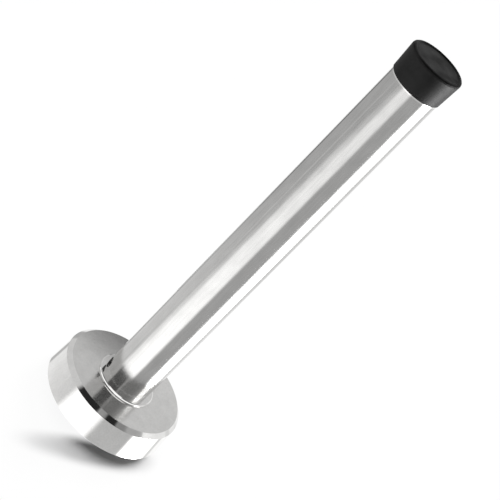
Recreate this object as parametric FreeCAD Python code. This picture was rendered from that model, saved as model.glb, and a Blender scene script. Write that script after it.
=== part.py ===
import FreeCAD, Part
import math
import os

# Wall door stop: a long tube on a round cover rose, with a rubber buffer at its free end.
# Millimetres. The origin is the centre of the rose's wall face, and +Z points away from the wall.

os.makedirs("parts", exist_ok=True)

# Cover rose, a turned cup that widens a little toward the wall
rose_wall_d = 51.2
rose_depth = 12.5
rose_draft = 0.8
rose_chamfer = 1.55
rose_face_wall = 3.0
rose_skirt_wall = 2.0
rose_edge_break = 0.25

# Stem tube, which goes through the rose and stands on the wall plate
stem_d = 19.0
stem_wall = 1.5
stem_length = 165.5
stem_edge_break = 0.3

# Foot ring, fixed on the stem, that holds the rose against the wall
ring_d = 23.4
ring_thick = 0.8
ring_round = 0.5
ring_flat_count = 2

# Foot bush, pressed into the stem
bush_length = 26.0
bush_recess = 0.5
bush_lead = 1.0

# Spigot, riveted into the wall plate
spigot_d = 12.0
spigot_lead = 1.2
spigot_below_bush = 1.5
rivet_d = 8.0
rivet_flare = 1.0

# Wall plate and its three countersunk screw holes
plate_thick = 4.0
plate_edge_break = 0.5
screw_count = 3
screw_hole_d = 4.5
screw_head_d = 9.0

# Grub screw that locks the stem on the spigot, in degrees from +X and above the foot ring
grub_turn = 195.0
grub_height = 2.3
grub_d = 4.0
grub_bite = 0.6
grub_sink = 1.2
grub_tip_d = 1.6
grub_key = 2.0
grub_key_depth = 1.6

# Rubber buffer
buffer_length = 10.5
buffer_foot_step = 0.3
buffer_flare = 0.6
buffer_rim_round = 1.0
buffer_rim_flat_count = 3
buffer_rim_land = 0.2
buffer_recess = 0.4
buffer_recess_slope = 0.6
plug_length = 14.0
plug_core_gap = 0.7
plug_lead = 1.2
barb_count = 2
barb_height = 3.0

# Clearances, each on the radius
plate_clearance = 0.3
spigot_clearance = 0.1
rose_hole_clearance = 0.3
tube_hole_clearance = 0.15

# Radii and levels that follow
rose_wall_r = rose_wall_d / 2
rose_front_r = rose_wall_r - rose_draft
rose_inner_r = rose_front_r - rose_skirt_wall
plate_r = rose_inner_r - plate_clearance
stem_r = stem_d / 2
stem_bore_r = stem_r - stem_wall
spigot_r = spigot_d / 2
bush_bore_r = spigot_r + spigot_clearance
rose_hole_r = stem_r + rose_hole_clearance
screw_ring_r = (stem_r + plate_r) / 2
stem_foot_z = plate_thick
bush_foot_z = stem_foot_z + bush_recess
bush_top_z = bush_foot_z + bush_length
spigot_top_z = bush_top_z - spigot_below_bush
ring_top_z = rose_depth + ring_thick
grub_z = ring_top_z + grub_height
buffer_z = stem_foot_z + stem_length


def point(r, z):
    return FreeCAD.Vector(r, 0, z)


def turned(points):
    # A half section through the points in the XZ plane, closed and turned about Z
    section = Part.makePolygon([point(r, z) for r, z in points + points[:1]])
    return Part.Face(section).revolve(FreeCAD.Vector(0, 0, 0), FreeCAD.Vector(0, 0, 1), 360)


def rounded_corner(r, z, size, flats):
    # Points of an outer top corner at (r, z), rounded by short flats that run from the side to the top
    turns = [math.pi / 2 * number / flats for number in range(flats + 1)]
    return [(r - size + size * math.cos(turn), z - size + size * math.sin(turn)) for turn in turns]


def at_grub(shape):
    # What is made along +Z from the origin is laid outward along the grub screw's axis
    shape.rotate(FreeCAD.Vector(0, 0, 0), FreeCAD.Vector(0, 1, 0), 90)
    shape.rotate(FreeCAD.Vector(0, 0, 0), FreeCAD.Vector(0, 0, 1), grub_turn)
    shape.translate(FreeCAD.Vector(0, 0, grub_z))
    return shape


def make_rose():
    under_face = rose_depth - rose_face_wall
    chamfer_z = rose_depth - rose_chamfer
    return turned([
        (rose_hole_r, under_face),
        (rose_hole_r, rose_depth),
        (rose_front_r - rose_chamfer, rose_depth),
        (rose_front_r, chamfer_z),
        (rose_wall_r, rose_edge_break),
        (rose_wall_r - rose_edge_break, 0),
        (rose_inner_r, 0),
        (rose_inner_r, under_face),
    ])


def make_wall_plate():
    rivet_r = rivet_d / 2
    plate = turned([
        (rivet_r + rivet_flare, 0),
        (plate_r, 0),
        (plate_r, plate_thick - plate_edge_break),
        (plate_r - plate_edge_break, plate_thick),
        (rivet_r, plate_thick),
        (rivet_r, rivet_flare),
    ])
    for number in range(screw_count):
        plate = plate.cut(screw_cut(grub_turn + 360.0 * number / screw_count))
    return plate


def screw_cut(angle):
    # A clearance hole with a right-angled countersink on the side away from the wall
    hole_r = screw_hole_d / 2
    head_r = screw_head_d / 2
    over = plate_thick
    cut = turned([
        (0, -over),
        (hole_r, -over),
        (hole_r, plate_thick - (head_r - hole_r)),
        (head_r, plate_thick),
        (head_r, plate_thick + over),
        (0, plate_thick + over),
    ])
    cut.translate(FreeCAD.Vector(screw_ring_r, 0, 0))
    cut.rotate(FreeCAD.Vector(0, 0, 0), FreeCAD.Vector(0, 0, 1), angle)
    return cut


def make_spigot():
    # The rivet end is swaged flush with the wall side of the plate, and a groove takes the grub screw's cone
    rivet_r = rivet_d / 2
    groove_half = grub_bite + grub_tip_d / 2
    return turned([
        (0, 0),
        (rivet_r + rivet_flare, 0),
        (rivet_r, rivet_flare),
        (rivet_r, plate_thick),
        (spigot_r, plate_thick),
        (spigot_r, grub_z - groove_half),
        (spigot_r - grub_bite, grub_z - grub_tip_d / 2),
        (spigot_r - grub_bite, grub_z + grub_tip_d / 2),
        (spigot_r, grub_z + groove_half),
        (spigot_r, spigot_top_z - spigot_lead),
        (spigot_r - spigot_lead, spigot_top_z),
        (0, spigot_top_z),
    ])


def make_foot_ring():
    ring_r = ring_d / 2
    return turned([
        (stem_r, rose_depth),
        (ring_r, rose_depth),
        *rounded_corner(ring_r, ring_top_z, ring_round, ring_flat_count),
        (stem_r, ring_top_z),
    ])


def make_foot_bush():
    bush = turned([
        (bush_bore_r + bush_lead, bush_foot_z),
        (stem_bore_r, bush_foot_z),
        (stem_bore_r, bush_top_z - bush_lead),
        (stem_bore_r - bush_lead, bush_top_z),
        (bush_bore_r, bush_top_z),
        (bush_bore_r, bush_foot_z + bush_lead),
    ])
    return bush.cut(at_grub(Part.makeCylinder(grub_d / 2, stem_r)))


def make_stem_tube():
    edge = stem_edge_break
    tube = turned([
        (stem_bore_r, stem_foot_z),
        (stem_r - edge, stem_foot_z),
        (stem_r, stem_foot_z + edge),
        (stem_r, buffer_z - edge),
        (stem_r - edge, buffer_z),
        (stem_bore_r, buffer_z),
    ])
    return tube.cut(at_grub(Part.makeCylinder(grub_d / 2 + tube_hole_clearance, 2 * stem_r)))


def make_grub_screw():
    # Turned from its flat tip, which lies in the groove, to its socket
    start = spigot_r - grub_bite
    end = stem_r - grub_sink
    cone = (grub_d - grub_tip_d) / 2
    body = turned([
        (0, start),
        (grub_tip_d / 2, start),
        (grub_d / 2, start + cone),
        (grub_d / 2, end),
        (0, end),
    ])
    corner_r = grub_key / math.sqrt(3)
    corners = [math.radians(60 * number) for number in range(7)]
    outline = [FreeCAD.Vector(corner_r * math.cos(a), corner_r * math.sin(a), end) for a in corners]
    socket = Part.Face(Part.makePolygon(outline)).extrude(FreeCAD.Vector(0, 0, -grub_key_depth))
    return at_grub(body.cut(socket))


def make_buffer():
    # A head that flares toward the door, with a shallow recess in its end, and a barbed plug in the tube
    foot_r = stem_r + buffer_foot_step
    rim_r = foot_r + buffer_flare
    core_r = stem_bore_r - plug_core_gap
    top = buffer_z + buffer_length
    plug_end = buffer_z - plug_length
    recess_r = rim_r - buffer_rim_round - buffer_rim_land
    outline = [
        (0, plug_end),
        (core_r - plug_lead, plug_end),
        (core_r, plug_end + plug_lead),
    ]
    barb_pitch = (plug_length - plug_lead) / barb_count
    for number in range(barb_count):
        low = plug_end + plug_lead + number * barb_pitch + (barb_pitch - barb_height) / 2
        outline.append((core_r, low))
        outline.append((stem_bore_r, low + barb_height))
        outline.append((core_r, low + barb_height))
    outline += [
        (core_r, buffer_z),
        (foot_r, buffer_z),
        *rounded_corner(rim_r, top, buffer_rim_round, buffer_rim_flat_count),
        (recess_r, top),
        (recess_r - buffer_recess_slope, top - buffer_recess),
        (0, top - buffer_recess),
    ]
    return turned(outline)


parts = {
    "rose": make_rose(),
    "wall_plate": make_wall_plate(),
    "spigot": make_spigot(),
    "foot_ring": make_foot_ring(),
    "foot_bush": make_foot_bush(),
    "stem_tube": make_stem_tube(),
    "grub_screw": make_grub_screw(),
    "buffer": make_buffer(),
}

for name, shape in parts.items():
    shape.exportStep("parts/" + name + ".step")
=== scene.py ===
import math

import bpy
from mathutils import Matrix, Vector


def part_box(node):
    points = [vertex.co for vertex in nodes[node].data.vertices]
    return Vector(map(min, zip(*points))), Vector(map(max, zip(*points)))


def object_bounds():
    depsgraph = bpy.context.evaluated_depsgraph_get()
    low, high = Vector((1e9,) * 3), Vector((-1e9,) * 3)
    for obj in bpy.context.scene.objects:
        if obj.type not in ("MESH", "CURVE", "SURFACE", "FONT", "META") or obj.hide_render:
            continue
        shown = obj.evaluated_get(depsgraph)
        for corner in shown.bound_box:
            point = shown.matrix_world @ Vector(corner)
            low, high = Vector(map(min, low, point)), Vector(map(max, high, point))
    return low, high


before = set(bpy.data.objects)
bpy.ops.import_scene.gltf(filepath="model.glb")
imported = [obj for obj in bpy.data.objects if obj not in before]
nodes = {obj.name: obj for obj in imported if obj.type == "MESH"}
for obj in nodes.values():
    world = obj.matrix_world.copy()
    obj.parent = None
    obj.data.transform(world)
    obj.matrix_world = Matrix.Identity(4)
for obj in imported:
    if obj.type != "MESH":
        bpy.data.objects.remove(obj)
cad_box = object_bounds()
scene = bpy.context.scene
scene.view_settings.view_transform = "Standard"

# Lengths and places are in metres. Angles are in degrees in the table of panels, and in radians elsewhere.

# The camera, rolled so that the stem leans to the upper right, with its lens and sensor in millimetres
CAMERA_PLACE = Vector((-0.04174, -0.51263, 0.34887))
CAMERA_AIM = Vector((-0.00111, 0.00009, 0.08557))
CAMERA_ROLL = math.radians(44.405)
CAMERA_LENS = 121.9
SENSOR = 36.0

# The strength at which a light or a glowing sheet shows its colour as it is
PLAIN = 1.0
WHITE = (1.0, 1.0, 1.0)


def add_camera():
    data = bpy.data.cameras.new("camera")
    data.sensor_width = SENSOR
    data.lens = CAMERA_LENS
    camera = bpy.data.objects.new("camera", data)
    scene.collection.objects.link(camera)
    look = (CAMERA_AIM - CAMERA_PLACE).to_track_quat("-Z", "Y").to_matrix().to_4x4()
    roll = Matrix.Rotation(CAMERA_ROLL, 4, "Z")
    camera.matrix_world = Matrix.Translation(CAMERA_PLACE) @ look @ roll
    scene.camera = camera


def add_sheet(name, corners):
    """A flat stage piece with four corners."""
    mesh = bpy.data.meshes.new(name)
    mesh.from_pydata(corners, [], [(0, 1, 2, 3)])
    sheet = bpy.data.objects.new(name, mesh)
    scene.collection.objects.link(sheet)
    return sheet


class Nodes:
    """Short calls to add and join the nodes of one material or of the world."""

    def __init__(self, owner):
        owner.use_nodes = True
        self.tree = owner.node_tree
        self.tree.nodes.clear()

    def add(self, kind, inputs=None, **settings):
        node = self.tree.nodes.new("ShaderNode" + kind)
        for name, value in settings.items():
            setattr(node, name, value)
        for name, value in (inputs or {}).items():
            self.join(value, node.inputs[name])
        return node

    def join(self, value, socket):
        if isinstance(value, bpy.types.NodeSocket):
            self.tree.links.new(value, socket)
        elif isinstance(value, (tuple, list)) and len(value) == 3 and socket.type == "RGBA":
            socket.default_value = (*value, 1.0)
        else:
            socket.default_value = value

    def math(self, operation, a, b=0.0, third=0.0):
        return self.add("Math", {0: a, 1: b, 2: third}, operation=operation).outputs[0]

    def step(self, value, start, end):
        """A smooth change from 0 at start to 1 at end."""
        inputs = {"Value": value, "From Min": start, "From Max": end}
        return self.add("MapRange", inputs, interpolation_type="SMOOTHSTEP").outputs["Result"]

    def blend(self, factor, a, b):
        return self.add("Mix", {"Factor": factor, "A": a, "B": b}, data_type="FLOAT").outputs["Result"]

    def ramp(self, value, stops, tint=WHITE):
        node = self.add("ValToRGB", {"Fac": value})
        elements = node.color_ramp.elements
        while len(elements) < len(stops):
            elements.new(1.0)
        for element, (place, shade) in zip(elements, stops):
            element.position = place
            element.color = (*(shade * part for part in tint), 1.0)
        return node.outputs["Color"]

    def noise(self, vector, scale, detail):
        return self.add("TexNoise", {"Vector": vector, "Scale": scale, "Detail": detail}).outputs["Fac"]

    def stretched(self, factors):
        """The object's own places, with each axis drawn out by its factor."""
        coordinates = self.add("TexCoord").outputs["Object"]
        return self.add("Mapping", {"Vector": coordinates, "Scale": factors}).outputs["Vector"]

    def place(self):
        """The object's own places, as one socket for each axis."""
        return self.add("SeparateXYZ", {"Vector": self.add("TexCoord").outputs["Object"]}).outputs


# Panels of the studio that polished metal mirrors. Angles are in degrees: the first two give a panel's
# middle and half width, turned from the camera's side toward +X, and the next two its lowest and highest
# elevation. Then come how soft its edges are, and its shade, where 1 is white.
PANELS = [
    ("dim wall low", 0, 200, -28, -10, 7, 0.50),
    ("left wall below", -110, 90, -70, -28, 6, 0.84),
    ("left rim", -163, 18, -90, -26, 8, 0.48),
    ("left rim high", -163, 18, -26, -12, 4, 0.20),
    ("right wall", 150, 50, -90, -27, 8, 1.02),
    ("right wall middle", 150, 50, -27, -8, 8, 0.90),
    ("right wall high", 143, 43, -8, 30, 10, 0.86),
    ("left back low", -158, 12, -12, 10, 5, 0.42),
    ("front box", -22, 31, -80, -26, 16, 1.85),
    ("front box left", -52, 18, -80, -31, 8, 1.50),
    ("front box top", -13, 20, -27, -8, 16, 1.16),
    ("dark gap", 42, 28, -90, -3, 12, 0.49),
    ("gap line", 17, 2, -90, -3, 3, 0.50),
    ("right box", 97, 26, -90, 8, 8, 1.80),
    ("right box core", 96, 16, -60, -12, 8, 12.50),
    ("edge line", 131, 4, -90, 10, 3, 0.72),
    ("side line", -80, 2, -60, -20, 2, 0.72),
    ("horizon", 0, 110, 0, 14, 4, 1.15),
    ("right slope", 88, 40, 34, 62, 8, 0.40),
    ("right slope low", 108, 18, 26, 35, 3, 0.92),
    ("grey right flag", 32, 30, 20, 60, 8, 0.24),
    ("grey flag low", 64, 9, 20, 36, 4, 0.28),
    ("dark left flag", -31, 30, 33, 64, 11, 0.02),
    ("dim left flag", -33, 26, 20, 36, 10, 0.12),
    ("dark right flag", 30, 12, 46, 64, 5, 0.02),
    ("light strip", 7, 6, 44, 64, 5, 0.29),
    ("dark overhead behind", 180, 100, 52, 90, 16, 0.20),
    ("overhead light", 0, 100, 67, 88, 4, 1.60),
    ("dim floor", 0, 200, -100, -68, 6, 0.42),
]
# The studio's shade between the panels, and the strength of the plain light that falls on matt surfaces
AMBIENT = 0.60
WORLD_LIGHT = 0.06

HALF_CIRCLE = 180.0
DEGREES_PER_RADIAN = HALF_CIRCLE / math.pi


def panel_mask(n, turn, height, panel):
    """1 inside a panel and 0 outside it, by the turn and elevation of a mirrored ray."""
    middle, half_width, low, high, edge = panel[1:-1]
    around = n.math("SUBTRACT", turn, middle)
    away = n.math("ABSOLUTE", n.math("WRAP", around, HALF_CIRCLE, third=-HALF_CIRCLE))
    across = n.step(away, half_width + edge / 2, half_width - edge / 2)
    above = n.step(height, low - edge / 2, low + edge / 2)
    below = n.step(height, high + edge / 2, high - edge / 2)
    return n.math("MULTIPLY", across, n.math("MULTIPLY", above, below))


def build_world():
    """Plain white for the camera, a little soft light, and the panels in what shiny surfaces mirror."""
    world = bpy.data.worlds.new("studio")
    scene.world = world
    n = Nodes(world)
    parts = n.add("SeparateXYZ", {"Vector": n.add("TexCoord").outputs["Generated"]})
    x, y, z = (parts.outputs[axis] for axis in "XYZ")
    turn_radians = n.math("ARCTAN2", x, n.math("MULTIPLY", y, -1.0))
    turn = n.math("MULTIPLY", turn_radians, DEGREES_PER_RADIAN)
    height = n.math("MULTIPLY", n.math("ARCSINE", z), DEGREES_PER_RADIAN)
    shade = AMBIENT
    for panel in PANELS:
        shade = n.blend(panel_mask(n, turn, height, panel), shade, panel[-1])
    studio = n.add("Background", {"Color": shade, "Strength": PLAIN})
    soft = n.add("Background", {"Color": WHITE, "Strength": WORLD_LIGHT})
    white = n.add("Background", {"Color": WHITE, "Strength": PLAIN})
    rays = n.add("LightPath").outputs
    unseen = n.add("MixShader", {0: rays["Is Glossy Ray"], 1: soft.outputs[0], 2: studio.outputs[0]})
    both = n.add("MixShader", {0: rays["Is Camera Ray"], 1: unseen.outputs[0], 2: white.outputs[0]})
    n.add("OutputWorld", {"Surface": both.outputs[0]})


# Two wide lamps behind the object, which metal doesn't mirror: strength, where it shines from, and width
SUNS = [
    ("high_sun", 2.5, Vector((-0.14, 0.60, 0.77)), math.radians(38)),
    ("low_sun", 3.2, Vector((0.20, 0.87, 0.44)), math.radians(20)),
]


def add_sun(name, light, place, width):
    data = bpy.data.lights.new(name, "SUN")
    data.energy = light
    data.angle = width
    sun = bpy.data.objects.new(name, data)
    sun.rotation_euler = (-place).to_track_quat("-Z", "Y").to_euler()
    sun.visible_glossy = False
    scene.collection.objects.link(sun)


# The floor's size, the shade of its paper, and a little light of its own that only the camera sees
FLOOR_SIZE = 6.0
FLOOR_SHADE = 0.94
FLOOR_LIFT = 0.01

# The oval of the floor in which the object's shadow shows. It fades between two parts of its half size,
# and a small share of the shadow is left outside it.
SHADE_PLACE = (0.0078, -0.0284)
SHADE_HALF_LONG = 0.039
SHADE_HALF_WIDE = 0.0075
SHADE_TURN = math.radians(43)
SHADE_FADE = (0.38, 1.10)
SHADE_LEFT = 0.07


def shade_ground(n):
    """0 where the object's shadow shows on the floor, rising to where the paper has gone white."""
    place = n.place()
    x = n.math("SUBTRACT", place["X"], SHADE_PLACE[0])
    y = n.math("SUBTRACT", place["Y"], SHADE_PLACE[1])
    long_x = n.math("MULTIPLY", x, math.cos(SHADE_TURN) / SHADE_HALF_LONG)
    along = n.math("MULTIPLY_ADD", y, math.sin(SHADE_TURN) / SHADE_HALF_LONG, long_x)
    wide_x = n.math("MULTIPLY", x, -math.sin(SHADE_TURN) / SHADE_HALF_WIDE)
    across = n.math("MULTIPLY_ADD", y, math.cos(SHADE_TURN) / SHADE_HALF_WIDE, wide_x)
    squares = n.math("MULTIPLY_ADD", along, along, n.math("MULTIPLY", across, across))
    return n.blend(n.step(n.math("SQRT", squares), *SHADE_FADE), 0.0, 1.0 - SHADE_LEFT)


def floor_paper():
    material = bpy.data.materials.new("floor_paper")
    n = Nodes(material)
    paper = n.add("BsdfDiffuse", {"Color": (FLOOR_SHADE,) * 3})
    glow = n.add("Emission", {"Color": WHITE, "Strength": FLOOR_LIFT})
    white = n.add("Emission", {"Color": WHITE, "Strength": PLAIN})
    lit = n.add("AddShader", {0: paper.outputs[0], 1: glow.outputs[0]})
    faded = n.add("MixShader", {0: shade_ground(n), 1: lit.outputs[0], 2: white.outputs[0]})
    seen = n.add("LightPath").outputs["Is Camera Ray"]
    both = n.add("MixShader", {0: seen, 1: paper.outputs[0], 2: faded.outputs[0]})
    n.add("OutputMaterial", {"Surface": both.outputs[0]})
    return material


def add_floor():
    half = FLOOR_SIZE / 2
    z = cad_box[0].z
    floor = add_sheet("floor", [(-half, -half, z), (half, -half, z), (half, half, z), (-half, half, z)])
    floor.visible_glossy = False
    floor.data.materials.append(floor_paper())


# Upright cards close to the rose, darker toward their feet, which only mirroring surfaces show. The rose's
# face mirrors the first, and the stem's foot mirrors the second by way of the face. Each has the X and Y of
# its two ends, its lowest and highest Z, its two shades, and between which heights they change.
CARDS = [
    ("card", (-0.024, 0.060), (0.003, 0.060), (0.020, 0.062), (0.20, 0.66), (0.034, 0.062)),
    ("right_card", (0.056, -0.0125), (0.056, 0.014), (0.0365, 0.046), (2.6, 3.2), (0.036, 0.046)),
]


def card_paper(name, shades, fade):
    material = bpy.data.materials.new(name + "_paper")
    n = Nodes(material)
    shade = n.blend(n.step(n.place()["Z"], *fade), *shades)
    glow = n.add("Emission", {"Color": shade, "Strength": PLAIN})
    n.add("OutputMaterial", {"Surface": glow.outputs[0]})
    return material


def add_card(name, start, end, levels, shades, fade):
    low, high = levels
    card = add_sheet(name, [(*start, low), (*end, low), (*end, high), (*start, high)])
    card.visible_camera = False
    card.visible_diffuse = False
    card.visible_shadow = False
    card.data.materials.append(card_paper(name, shades, fade))


# How fine the marks of a finish are along X, Y and Z, per metre
BRUSHED_GRAIN = (1800.0, 1800.0, 120.0)
POLISHED_GRAIN = (2200.0, 2200.0, 2200.0)
TURNED_GRAIN = (300.0, 300.0, 6000.0)
SHEET_GRAIN = (400.0, 400.0, 400.0)
SCREW_GRAIN = (900.0, 900.0, 900.0)
CLOUD_GRAIN = (260.0, 260.0, 150.0)

# How marks and clouds change the shade, gloss and relief of steel, how a painted highlight lightens its
# shade, and how far a finish's marks are turned
STEEL_TINT = (1.006, 1.0, 0.987)
STEEL_STOPS = [(0.0, 0.79), (0.50, 1.14), (1.0, 1.45)]
MARK_DETAIL = 4.0
CLOUD_DETAIL = 3.0
MARK_SHARE = 0.30
CLOUD_SHARE = 0.30
STEEL_ROUGH_SPREAD = 0.08
STEEL_RELIEF = 0.0001
QUARTER_TURN = 0.25

# How far the painted highlight along the tube's top edge reaches down, and the height over which it fades
# in
PAINTED_HIGHLIGHT_DEPTH = 0.0006
PAINTED_HIGHLIGHT_FADE = 0.0002


def steel(name, shade, roughness, grain, bump, anisotropy=0.0, rotation=0.0, waves=0.0, painted_highlight_from=None):
    """Steel with a directional finish. From a height in metres up, a painted highlight lightens its colour.
    """
    material = bpy.data.materials.new(name)
    n = Nodes(material)
    marks = n.noise(n.stretched(grain), 1.0, MARK_DETAIL)
    cloud = n.noise(n.stretched(CLOUD_GRAIN), 1.0, CLOUD_DETAIL)
    tone = n.math("ADD", n.math("MULTIPLY", marks, MARK_SHARE), n.math("MULTIPLY", cloud, CLOUD_SHARE))
    if painted_highlight_from is not None:
        # Painted highlight: the colour is lightened from the given height up
        tone = n.math("ADD", tone, n.step(n.place()["Z"], painted_highlight_from - PAINTED_HIGHLIGHT_FADE, painted_highlight_from))
    colour = n.ramp(tone, [(place, shade * part) for place, part in STEEL_STOPS], STEEL_TINT)
    rough_marks = n.math("MULTIPLY", marks, STEEL_ROUGH_SPREAD)
    rough = n.math("ADD", rough_marks, roughness - STEEL_ROUGH_SPREAD / 2)
    height = n.math("MULTIPLY_ADD", cloud, waves, marks)
    relief = n.add("Bump", {"Height": height, "Strength": bump, "Distance": STEEL_RELIEF})
    tangent = n.add("Tangent", direction_type="RADIAL", axis="Z")
    shader = n.add("BsdfPrincipled", {
        "Base Color": colour, "Metallic": 1.0, "Roughness": rough, "Anisotropic": anisotropy,
        "Anisotropic Rotation": rotation, "Normal": relief.outputs[0], "Tangent": tangent.outputs[0],
    })
    n.add("OutputMaterial", {"Surface": shader.outputs[0]})
    return material


# Two sizes of mottling in moulded rubber, per metre, and what they change
FINE_SCALE = 2600.0
FINE_DETAIL = 3.0
BROAD_SCALE = 160.0
BROAD_DETAIL = 2.0
RUBBER_STOPS = (0.35, 0.65)
RUBBER_ROUGH_SPREAD = 0.12
RUBBER_BUMP = 0.15
RUBBER_RELIEF = 0.00005
EVEN = (1.0, 1.0, 1.0)


def rubber(name, shades, gloss, roughness):
    """Moulded black rubber, between two shades: gloss is its specular level."""
    material = bpy.data.materials.new(name)
    n = Nodes(material)
    fine = n.noise(n.stretched(EVEN), FINE_SCALE, FINE_DETAIL)
    broad = n.noise(n.stretched(EVEN), BROAD_SCALE, BROAD_DETAIL)
    colour = n.ramp(broad, list(zip(RUBBER_STOPS, shades)))
    rough_marks = n.math("MULTIPLY", fine, RUBBER_ROUGH_SPREAD)
    rough = n.math("ADD", rough_marks, roughness - RUBBER_ROUGH_SPREAD / 2)
    relief = n.add("Bump", {"Height": fine, "Strength": RUBBER_BUMP, "Distance": RUBBER_RELIEF})
    shader = n.add("BsdfPrincipled", {
        "Base Color": colour, "Roughness": rough, "Normal": relief.outputs[0], "Specular IOR Level": gloss,
    })
    n.add("OutputMaterial", {"Surface": shader.outputs[0]})
    return material


# How far under its node's highest point an end face may reach
FACE_SLACK = 0.0001
END_SLACK = 0.0006


def dress(name, *materials):
    mesh = nodes[name].data
    mesh.materials.clear()
    for material in materials:
        mesh.materials.append(material)


def dress_top(name, slack):
    """The second material goes on the end face, which reaches no further than a slack under the top."""
    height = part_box(name)[1].z - slack
    for polygon in nodes[name].data.polygons:
        polygon.material_index = int(polygon.center.z > height)


def dress_stem():
    """Satin tube, brushed along its length, which throws no shadow."""
    # The tube's colour is lightened near its top edge as a painted highlight
    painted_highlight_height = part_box("stem_tube")[1].z - PAINTED_HIGHLIGHT_DEPTH
    dress("stem_tube", steel(
        "stem_steel", shade=0.66, roughness=0.15, grain=BRUSHED_GRAIN, bump=0.04,
        anisotropy=0.70, rotation=QUARTER_TURN, waves=3.0, painted_highlight_from=painted_highlight_height,
    ))
    nodes["stem_tube"].visible_shadow = False


def dress_rose():
    """Polished side and chamfer and a turned face, which throw no mirrored light on the floor."""
    polished = steel("rose_polished", shade=0.90, roughness=0.07, grain=POLISHED_GRAIN, bump=0.02)
    face = steel(
        "rose_face", shade=0.80, roughness=0.17, grain=POLISHED_GRAIN, bump=0.04,
        anisotropy=0.72, rotation=QUARTER_TURN,
    )
    dress("rose", polished, face)
    dress_top("rose", FACE_SLACK)
    nodes["rose"].visible_diffuse = False


def dress_ring():
    """Turned and polished."""
    dress("foot_ring", steel(
        "ring_steel", shade=0.86, roughness=0.08, grain=POLISHED_GRAIN, bump=0.02,
        anisotropy=0.30, rotation=QUARTER_TURN,
    ))


def dress_bush():
    """Plain turned steel."""
    dress("foot_bush", steel(
        "bush_steel", shade=0.62, roughness=0.25, grain=TURNED_GRAIN, bump=0.05,
        anisotropy=0.40, rotation=QUARTER_TURN,
    ))


def dress_plate():
    """Plain sheet steel."""
    dress("wall_plate", steel("plate_steel", shade=0.60, roughness=0.35, grain=SHEET_GRAIN, bump=0.06))


def dress_spigot():
    """Plain turned steel."""
    dress("spigot", steel(
        "spigot_steel", shade=0.62, roughness=0.25, grain=TURNED_GRAIN, bump=0.05,
        anisotropy=0.40, rotation=QUARTER_TURN,
    ))


def dress_screw():
    """Dark steel, as a blackened grub screw is, and darker still as painted shade inside its hole."""
    dress("grub_screw", steel("screw_steel", shade=0.22, roughness=0.30, grain=SCREW_GRAIN, bump=0.04))


def dress_buffer():
    """Matt rubber, with less gloss on its end than on its side, which throws no shadow."""
    side = rubber("buffer_side", shades=(0.001, 0.010), gloss=0.22, roughness=0.50)
    end = rubber("buffer_end", shades=(0.002, 0.022), gloss=0.05, roughness=0.50)
    dress("buffer", side, end)
    dress_top("buffer", END_SLACK)
    nodes["buffer"].visible_shadow = False


add_camera()
build_world()
for sun in SUNS:
    add_sun(*sun)
add_floor()
for card in CARDS:
    add_card(*card)

dress_stem()
dress_rose()
dress_ring()
dress_bush()
dress_plate()
dress_spigot()
dress_screw()
dress_buffer()
